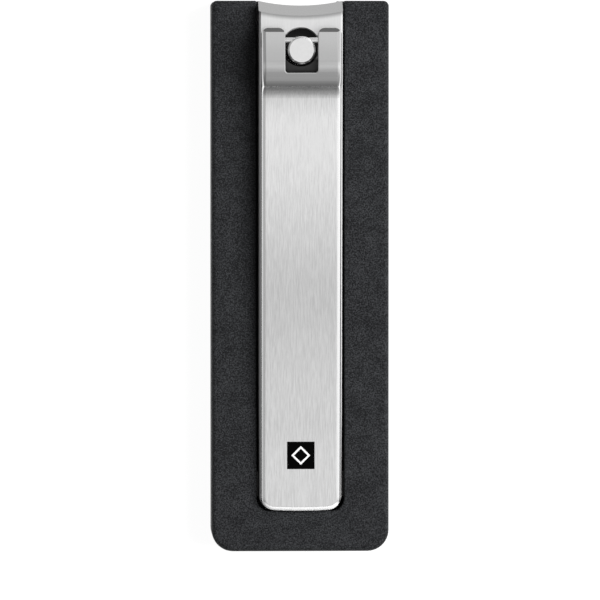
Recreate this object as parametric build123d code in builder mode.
"""A case-type fingernail clipper, lying on its flat back.

Frame: +Z comes out of the face that carries the lever, Y runs along the clipper
with the cutting end at -Y, and X runs across it. The origin is the centre of the
case's flat back. All sizes are in millimetres.
"""
import math
import os

from build123d import *

os.makedirs("parts", exist_ok=True)

# Case: two plastic shells around an open channel
case_width = 25.75
case_length = 80.0
case_height = 9.0
cover_thickness = 1.4
outer_wall = 1.1
roof_wall = 1.3
end_wall = 1.3
channel_wall = 1.4
channel_half_width = 6.35
channel_end_y = 34.1
channel_corner_radius = 1.8
closed_corner_radius = 3.1
cutting_corner_radius = 0.8
case_edge_radius = 0.7
back_edge_radius = 0.5
channel_edge_radius = 0.25
parting_chamfer = 0.15

# Guide grooves for the lower jaw's tabs, and windows into the clippings chambers
groove_depth = 0.9
groove_clearance = 0.1
window_start_y = -38.6
window_end_y = -20.0
window_top_z = 7.4

# Pegs of the back cover in the bosses of the front shell
boss_radius = 1.9
peg_radius = 0.85
peg_hole_radius = 0.95
peg_height = 3.6
peg_hole_depth = 4.0
boss_rows_y = [-9.0, 12.0, 33.0]

# Jaws: two sheet steel arms, riveted together at the rear
jaw_half_width = 6.1
jaw_thickness = 1.6
jaw_angle = 2.3
jaw_rear_y = 33.7
bend_y = 30.5
joint_z = 7.05
jaw_edge_radius = 0.35
tab_reach = 0.85
tab_start_y = 28.4
tab_end_y = 32.0
jaw_corner_radius = 1.7

# Beaks: the cutting edges lie on one arc, and meet when the jaws close
edge_gap = 2.2
edge_centre_y = -39.3
edge_arc_radius = 27.7
edge_land = 0.12
bevel_run = 1.5
beak_root_run = 2.9

# Rivets at the rear
rivet_y = 31.9
rivet_spread = 3.1
rivet_radius = 0.9
rivet_head_radius = 1.3
rivet_head_height = 0.25
rivet_gap = 0.12

# Post that carries the lever
post_y = -32.8
post_radius = 2.0
post_fit = 0.05
post_foot_radius = 2.8
post_foot_height = 1.0
post_foot_gap = 0.15
post_head_above_pin = 1.15
post_head_chamfer = 0.25
jaw_hole_y = -33.3
jaw_hole_radius = 2.7
hole_chamfer = 0.15

# Lever: a bent sheet with a forked, humped end
pin_y = -34.2
pin_radius = 0.42
pin_fit = 0.06
pin_above_jaw = 2.06
eye_radius = 1.05
lever_angle = 2.45
lever_thickness = 1.35
hump_thickness = 1.3
lever_half_width = 5.8
lever_end_y = 34.0
lever_end_z = 9.15
lever_corner_radius = 1.9
lever_end_bulge = 0.25
lever_edge_radius = 0.7
lever_under_radius = 0.25
slot_edge_radius = 0.15
pin_half_length = 5.5
slot_half_width = 2.35
slot_end = 4.55
slot_corner_radius = 0.4
fork_tip_radius = 1.0
slot_flare_radius = 1.0
fork_front = 1.83
nose_bevel = (0.57, 0.48)
nose_low = (1.6, -0.5)
crest = (5.05, 2.1)
hump_foot = 7.4
crest_radius = 4.3
foot_radius = 2.5

# Enamel mark let into the lever
mark_size = 4.0
mark_depth = 0.2
mark_y = 25.9

jaw_slope = math.tan(math.radians(jaw_angle))


def spread(y):
    """Distance of a jaw's inner face from the joint plane at y."""
    return max(0.0, (bend_y - y) * jaw_slope)


jaw_top_at_pin = joint_z + jaw_thickness + spread(pin_y)
pin_z = jaw_top_at_pin + pin_above_jaw
half_width = case_width / 2
half_length = case_length / 2
roof_z = case_height - roof_wall
chamber_inner_x = channel_half_width + channel_wall
chamber_outer_x = half_width - outer_wall
boss_x = (chamber_inner_x + chamber_outer_x) / 2
boss_places = [(side * boss_x, y) for y in boss_rows_y for side in (-1, 1)]


def case_outline():
    """Outline of the case in the current sketch: square cutting end, rounded closed end."""
    Rectangle(case_width, case_length)
    fillet(vertices().group_by(Axis.Y)[-1], closed_corner_radius)
    fillet(vertices().group_by(Axis.Y)[0], cutting_corner_radius)


# ---------------------------------------------------------------- case front shell
with BuildPart() as case_front_shell:
    with BuildSketch(Plane.XY.offset(cover_thickness)):
        case_outline()
    extrude(amount=case_height - cover_thickness)
    fillet(case_front_shell.faces().sort_by(Axis.Z)[-1].edges(), case_edge_radius)
    chamfer(case_front_shell.faces().sort_by(Axis.Z)[0].edges(), parting_chamfer)

    # chambers in both wings, joined behind the closed end of the channel
    with BuildSketch(Plane.XY.offset(cover_thickness)):
        with Locations((0, 0)):
            Rectangle(2 * chamber_outer_x, case_length - 2 * end_wall)
        fillet(vertices().group_by(Axis.Y)[-1], closed_corner_radius - outer_wall)
        wall_length = channel_end_y + channel_wall + half_length
        with Locations((0, channel_end_y + channel_wall - wall_length / 2)):
            Rectangle(2 * chamber_inner_x, wall_length, mode=Mode.SUBTRACT)
    extrude(amount=roof_z - cover_thickness, mode=Mode.SUBTRACT)

    # bosses for the cover's pegs
    with BuildSketch(Plane.XY.offset(cover_thickness)):
        with Locations(*boss_places):
            Circle(boss_radius)
    extrude(amount=roof_z - cover_thickness)
    with BuildSketch(Plane.XY.offset(cover_thickness)):
        with Locations(*boss_places):
            Circle(peg_hole_radius)
    extrude(amount=peg_hole_depth, mode=Mode.SUBTRACT)

    # channel for the clipper, open at the cutting end and at the front
    channel_length = channel_end_y + half_length
    with BuildSketch(Plane.XY.offset(cover_thickness)):
        with Locations((0, channel_end_y - channel_length / 2)):
            Rectangle(2 * channel_half_width, channel_length)
        fillet(vertices().group_by(Axis.Y)[-1], channel_corner_radius)
    extrude(amount=case_height, mode=Mode.SUBTRACT)
    face_edges = case_front_shell.faces().sort_by(Axis.Z)[-1].edges()
    channel_edges = face_edges.filter_by_position(Axis.X, -channel_half_width, channel_half_width)
    fillet(channel_edges, channel_edge_radius)

    # guide grooves for the tabs of the lower jaw
    groove_low = joint_z - jaw_thickness - groove_clearance
    groove_high = joint_z + groove_clearance
    with BuildSketch(Plane.XY.offset(groove_low)):
        with Locations((0, channel_end_y - channel_corner_radius - channel_length / 2)):
            Rectangle(2 * (channel_half_width + groove_depth), channel_length)
    extrude(amount=groove_high - groove_low, mode=Mode.SUBTRACT)

    # windows beside the blades, where the clippings fly into the wings
    with BuildSketch(Plane.XY.offset(cover_thickness)):
        with Locations((0, (window_start_y + window_end_y) / 2)):
            Rectangle(2 * chamber_outer_x, window_end_y - window_start_y)
    extrude(amount=window_top_z - cover_thickness, mode=Mode.SUBTRACT)
case_front_shell.part.label = "case_front_shell"
export_step(case_front_shell.part, "parts/case_front_shell.step")

# ---------------------------------------------------------------- case back cover
pad_y = -24.0
pad_length = 4.0
pad_width = 3.0
pad_x = 3.8
cover_notch = 2.6
cover_notch_half_width = 5.6
pad_top_z = joint_z - jaw_thickness - spread(pad_y - pad_length / 2) - 0.1

with BuildPart() as case_back_cover:
    with BuildSketch(Plane.XY):
        case_outline()
    extrude(amount=cover_thickness)
    fillet(case_back_cover.faces().sort_by(Axis.Z)[0].edges(), back_edge_radius)
    chamfer(case_back_cover.faces().sort_by(Axis.Z)[-1].edges(), parting_chamfer)

    # notch under the beaks, a little narrower than they are
    with BuildSketch(Plane.XY) as notch:
        with Locations((0, -half_length)):
            Rectangle(2 * cover_notch_half_width, 2 * cover_notch)
        fillet(notch.vertices().group_by(Axis.Y)[-1], 0.8)
    extrude(amount=cover_thickness, mode=Mode.SUBTRACT)

    # pegs, pressed into the bosses of the front shell
    with BuildSketch(Plane.XY.offset(cover_thickness)):
        with Locations(*boss_places):
            Circle(peg_radius)
    extrude(amount=peg_height)

    # two pads that carry the lower jaw behind the post
    with BuildSketch(Plane.XY.offset(cover_thickness)):
        with Locations((-pad_x, pad_y), (pad_x, pad_y)):
            RectangleRounded(pad_width, pad_length, 0.5)
    extrude(amount=pad_top_z - cover_thickness)
case_back_cover.part.label = "case_back_cover"
export_step(case_back_cover.part, "parts/case_back_cover.step")


# ---------------------------------------------------------------- jaws
def jaw_point(y, height, side):
    """A point of a jaw's outline: height is measured away from the joint plane."""
    return (y, joint_z + side * height)


def jaw_blank(side):
    """One jaw without its holes. side is 1 for the upper jaw and -1 for the lower one."""
    front_y = -half_length - 1
    arc_y = edge_centre_y - edge_arc_radius
    root_y = edge_centre_y + beak_root_run
    edge_height = edge_gap / 2
    outer_height = jaw_thickness + spread(edge_centre_y + bevel_run)
    over_height = outer_height + 2
    over_run = bevel_run * (over_height - edge_height) / (outer_height - edge_height)
    root_height = spread(root_y) - 0.05
    arc_axis = Axis((0, arc_y, 0), (0, 0, 1))
    with BuildPart() as blank:
        with BuildSketch(Plane.YZ):
            with BuildLine():
                Polyline(
                    jaw_point(jaw_rear_y, 0, side),
                    jaw_point(bend_y, 0, side),
                    jaw_point(root_y, spread(root_y), side),
                    jaw_point(root_y, edge_height, side),
                    jaw_point(front_y, edge_height, side),
                    jaw_point(front_y, jaw_thickness + spread(front_y), side),
                    jaw_point(bend_y, jaw_thickness, side),
                    jaw_point(jaw_rear_y, jaw_thickness, side),
                    close=True,
                )
            make_face()
        extrude(amount=jaw_half_width, both=True)
        rear_corners = blank.edges().filter_by(Axis.Z).group_by(Axis.Y)[-1]
        fillet(rear_corners, jaw_corner_radius)
        outer_edges = blank.faces().sort_by(Axis.Z)[-1 if side > 0 else 0].edges()
        long_edges = outer_edges.filter_by(lambda e: e.length > 60)
        fillet(long_edges, jaw_edge_radius)

        # ground bevel outside the cutting edge
        with BuildSketch(Plane.YZ):
            with BuildLine():
                Polyline(
                    jaw_point(arc_y, edge_height - 1, side),
                    jaw_point(edge_centre_y, edge_height - 1, side),
                    jaw_point(edge_centre_y, edge_height, side),
                    jaw_point(edge_centre_y + over_run, over_height, side),
                    jaw_point(arc_y, over_height, side),
                    close=True,
                )
            make_face()
        revolve(axis=arc_axis, mode=Mode.SUBTRACT)

        # hollow behind the cutting edge
        with BuildSketch(Plane.YZ):
            with BuildLine():
                Polyline(
                    jaw_point(edge_centre_y + edge_land, edge_height - 0.1, side),
                    jaw_point(edge_centre_y + edge_land, edge_height, side),
                    jaw_point(root_y, root_height, side),
                    jaw_point(root_y + 2, root_height, side),
                    jaw_point(root_y + 2, edge_height - 0.1, side),
                    close=True,
                )
            make_face()
        revolve(axis=arc_axis, mode=Mode.SUBTRACT)
    return blank.part


rivet_places = [(-rivet_spread, rivet_y), (rivet_spread, rivet_y)]

with BuildPart() as upper_jaw:
    add(jaw_blank(1))
    with Locations((0, jaw_hole_y, joint_z)):
        Cylinder(jaw_hole_radius, 20, mode=Mode.SUBTRACT)
    chamfer(upper_jaw.edges().sort_by_distance((0, jaw_hole_y, 20))[0], hole_chamfer)
    with Locations(*[(x, y, joint_z) for x, y in rivet_places]):
        Cylinder(rivet_radius + rivet_gap, 20, mode=Mode.SUBTRACT)
upper_jaw.part.label = "upper_jaw"
export_step(upper_jaw.part, "parts/upper_jaw.step")

with BuildPart() as lower_jaw:
    add(jaw_blank(-1))
    # tabs that run in the grooves of the case
    tab_length = tab_end_y - tab_start_y
    with BuildSketch(Plane.XY.offset(joint_z - jaw_thickness)):
        with Locations((0, tab_start_y + tab_length / 2)):
            RectangleRounded(2 * (jaw_half_width + tab_reach), tab_length, 0.4)
    extrude(amount=jaw_thickness)
    with Locations((0, post_y, joint_z)):
        Cylinder(post_radius + post_fit, 20, mode=Mode.SUBTRACT)
    with Locations(*[(x, y, joint_z) for x, y in rivet_places]):
        Cylinder(rivet_radius, 20, mode=Mode.SUBTRACT)
lower_jaw.part.label = "lower_jaw"
export_step(lower_jaw.part, "parts/lower_jaw.step")

# ---------------------------------------------------------------- rear rivets
rivet_bottom = joint_z - jaw_thickness
rivet_top = joint_z + jaw_thickness + rivet_gap

with BuildPart() as jaw_rivets:
    with BuildSketch(Plane.XY.offset(rivet_bottom - rivet_head_height)):
        with Locations(*rivet_places):
            Circle(rivet_head_radius)
    extrude(amount=rivet_head_height)
    with BuildSketch(Plane.XY.offset(rivet_bottom)):
        with Locations(*rivet_places):
            Circle(rivet_radius)
    extrude(amount=rivet_top - rivet_bottom)
    with BuildSketch(Plane.XY.offset(rivet_top)):
        with Locations(*rivet_places):
            Circle(rivet_head_radius)
    extrude(amount=rivet_head_height)
jaw_rivets.part.label = "jaw_rivets"
export_step(jaw_rivets.part, "parts/jaw_rivets.step")

# ---------------------------------------------------------------- post
foot_top_z = joint_z - jaw_thickness - spread(post_y - post_foot_radius) - post_foot_gap
head_top_z = pin_z + post_head_above_pin
notch_radius = pin_radius + pin_fit

with BuildPart() as post:
    with BuildSketch(Plane.XY.offset(foot_top_z - post_foot_height)):
        with Locations((0, post_y)):
            Circle(post_foot_radius)
    extrude(amount=post_foot_height)
    chamfer(post.edges().group_by(Axis.Z)[0], post_head_chamfer)
    with BuildSketch(Plane.XY.offset(foot_top_z)):
        with Locations((0, post_y)):
            Circle(post_radius)
    extrude(amount=head_top_z - foot_top_z)
    chamfer(post.edges().group_by(Axis.Z)[-1], post_head_chamfer)
    # notch in the front of the post, where the lever's pin turns
    with BuildSketch(Plane.YZ):
        with Locations((pin_y, pin_z)):
            Circle(notch_radius)
        with Locations((pin_y - post_radius / 2, pin_z)):
            Rectangle(post_radius, 2 * notch_radius)
    extrude(amount=2 * post_radius, both=True, mode=Mode.SUBTRACT)
post.part.label = "post"
export_step(post.part, "parts/post.step")

# ---------------------------------------------------------------- lever
tilt = math.radians(lever_angle)
along = (0, math.cos(tilt), -math.sin(tilt))
outward = (0, math.sin(tilt), math.cos(tilt))
side_plane = Plane(origin=(0, pin_y, pin_z), x_dir=along, z_dir=(1, 0, 0))
plan_plane = Plane(origin=(0, pin_y, pin_z), x_dir=(1, 0, 0), z_dir=outward)
# plan_plane's local y runs towards the handle's end
reach_y = lever_end_y - pin_y
drop_z = lever_end_z - pin_z
handle_under = reach_y * math.sin(tilt) + drop_z * math.cos(tilt)
handle_top = handle_under + lever_thickness
lever_end = reach_y * math.cos(tilt) - drop_z * math.sin(tilt)

# the ramp leaves the eye as a tangent, and the crest's two sides have these angles
crest_distance = math.hypot(*crest)
ramp_angle = math.atan2(crest[1], crest[0]) - math.asin(eye_radius / crest_distance)
drop_angle = math.atan2(crest[1] - handle_top, hump_foot - crest[0])
ramp_normal = (-math.sin(ramp_angle), math.cos(ramp_angle))
drop_normal = (math.sin(drop_angle), math.cos(drop_angle))


def inner_corner(corner, normal_a, normal_b, thickness):
    """The corner inside a bend of a sheet, from the outer corner and both face normals."""
    scale = thickness / (1 + normal_a[0] * normal_b[0] + normal_a[1] * normal_b[1])
    inner_u = corner[0] - scale * (normal_a[0] + normal_b[0])
    inner_w = corner[1] - scale * (normal_a[1] + normal_b[1])
    return (inner_u, inner_w)


foot = (hump_foot, handle_top)
# the ears run on past the pin, along the ramp, to a bevelled front
nose_edge = fork_front - nose_bevel[0]
nose_drop = (nose_edge + eye_radius * ramp_normal[0]) * math.tan(ramp_angle)
nose_top = (-nose_edge, eye_radius * ramp_normal[1] - nose_drop)
nose_front = (-fork_front, nose_top[1] - nose_bevel[1])
nose_under = (-eye_radius * math.cos(math.radians(55)), -eye_radius * math.sin(math.radians(55)))
eye_under_height = eye_radius - hump_thickness
eye_under = (eye_under_height * ramp_normal[0], eye_under_height * ramp_normal[1])
crest_inner = inner_corner(crest, ramp_normal, drop_normal, hump_thickness)
foot_inner = inner_corner(foot, drop_normal, (0, 1), lever_thickness)
handle_end_top = (lever_end, handle_top)
handle_end_under = (lever_end, handle_under)

with BuildPart() as lever:
    # side profile: handle, hump, ramp and the eye round the pin
    with BuildSketch(side_plane) as lever_side:
        with BuildLine():
            Polyline(
                nose_top,
                crest,
                foot,
                handle_end_top,
                handle_end_under,
                foot_inner,
                crest_inner,
                eye_under,
                nose_under,
                (-nose_low[0], nose_low[1]),
                nose_front,
                close=True,
            )
        make_face()
        bends = [
            (crest, crest_radius),
            (crest_inner, crest_radius - hump_thickness),
            (foot, foot_radius),
            (foot_inner, foot_radius + lever_thickness),
        ]
        for place, radius in bends:
            corner = lever_side.vertices().sort_by_distance(Vector(*place))[0]
            fillet(corner, radius)
        Circle(eye_radius)
    extrude(amount=lever_half_width + 1, both=True)

    # outline from above: straight sides and a rounded end at the rear
    side_end = lever_end - lever_end_bulge
    with BuildSketch(plan_plane):
        with BuildLine():
            Line((-lever_half_width, -fork_front), (-lever_half_width, side_end))
            ThreePointArc((-lever_half_width, side_end), (0, lever_end), (lever_half_width, side_end))
            Line((lever_half_width, side_end), (lever_half_width, -fork_front))
            Line((lever_half_width, -fork_front), (-lever_half_width, -fork_front))
        make_face()
        fillet(vertices().group_by(Axis.Y)[-1], lever_corner_radius)
    extrude(amount=10, both=True, mode=Mode.INTERSECT)
    long_edges = lever.edges().filter_by(lambda e: e.length > 50)
    fillet(long_edges.group_by(Axis.Z)[-1], lever_edge_radius)
    long_edges = lever.edges().filter_by(lambda e: e.length > 50)
    fillet(long_edges.group_by(Axis.Z)[0], lever_under_radius)

    # rounded outer corners of the fork
    round_x = lever_half_width - fork_tip_radius
    round_y = fork_tip_radius - fork_front
    with BuildSketch(plan_plane):
        with BuildLine():
            Polyline(
                (round_x, -fork_front),
                (round_x, -fork_front - 1),
                (lever_half_width + 1, -fork_front - 1),
                (lever_half_width + 1, round_y),
                (lever_half_width, round_y),
            )
            RadiusArc((lever_half_width, round_y), (round_x, -fork_front), fork_tip_radius)
        make_face()
        mirror(about=Plane.YZ)
    extrude(amount=10, both=True, mode=Mode.SUBTRACT)

    # slot for the post, flared at its open end
    flare_x = slot_half_width + slot_flare_radius
    flare_y = slot_flare_radius - fork_front
    with BuildSketch(plan_plane) as slot:
        with BuildLine():
            Line((0, slot_end), (slot_half_width, slot_end))
            Line((slot_half_width, slot_end), (slot_half_width, flare_y))
            RadiusArc((slot_half_width, flare_y), (flare_x, -fork_front), -slot_flare_radius)
            Line((flare_x, -fork_front), (flare_x, -2 * eye_radius))
            Line((flare_x, -2 * eye_radius), (0, -2 * eye_radius))
            mirror(about=Plane.YZ)
        make_face()
        fillet(vertices().group_by(Axis.Y)[-1], slot_corner_radius)
    extrude(amount=10, both=True, mode=Mode.SUBTRACT)
    slot_top = lever.edges().sort_by_distance(plan_plane.from_local_coords((0, slot_end, 10)))[0]
    fillet(slot_top, slot_edge_radius)

    # bore for the pin through both sides of the fork
    with BuildSketch(side_plane):
        Circle(pin_radius)
    extrude(amount=pin_half_length, both=True, mode=Mode.SUBTRACT)

    # shallow square recess for the enamel mark
    mark_along = (mark_y - pin_y) / math.cos(tilt)
    mark_plane = Plane(
        origin=plan_plane.from_local_coords((0, mark_along, handle_top)),
        x_dir=(1, 0, 0),
        z_dir=outward,
    )
    with BuildSketch(mark_plane):
        Rectangle(mark_size, mark_size)
    extrude(amount=-mark_depth, mode=Mode.SUBTRACT)
lever.part.label = "lever"
export_step(lever.part, "parts/lever.step")

# ---------------------------------------------------------------- pin across the fork
with BuildPart() as lever_pin:
    with BuildSketch(side_plane):
        Circle(pin_radius)
    extrude(amount=pin_half_length, both=True)
lever_pin.part.label = "lever_pin"
export_step(lever_pin.part, "parts/lever_pin.step")

# ---------------------------------------------------------------- enamel mark
with BuildPart() as lever_mark:
    with BuildSketch(mark_plane):
        Rectangle(mark_size, mark_size)
    extrude(amount=-mark_depth)
lever_mark.part.label = "lever_mark"
export_step(lever_mark.part, "parts/lever_mark.step")
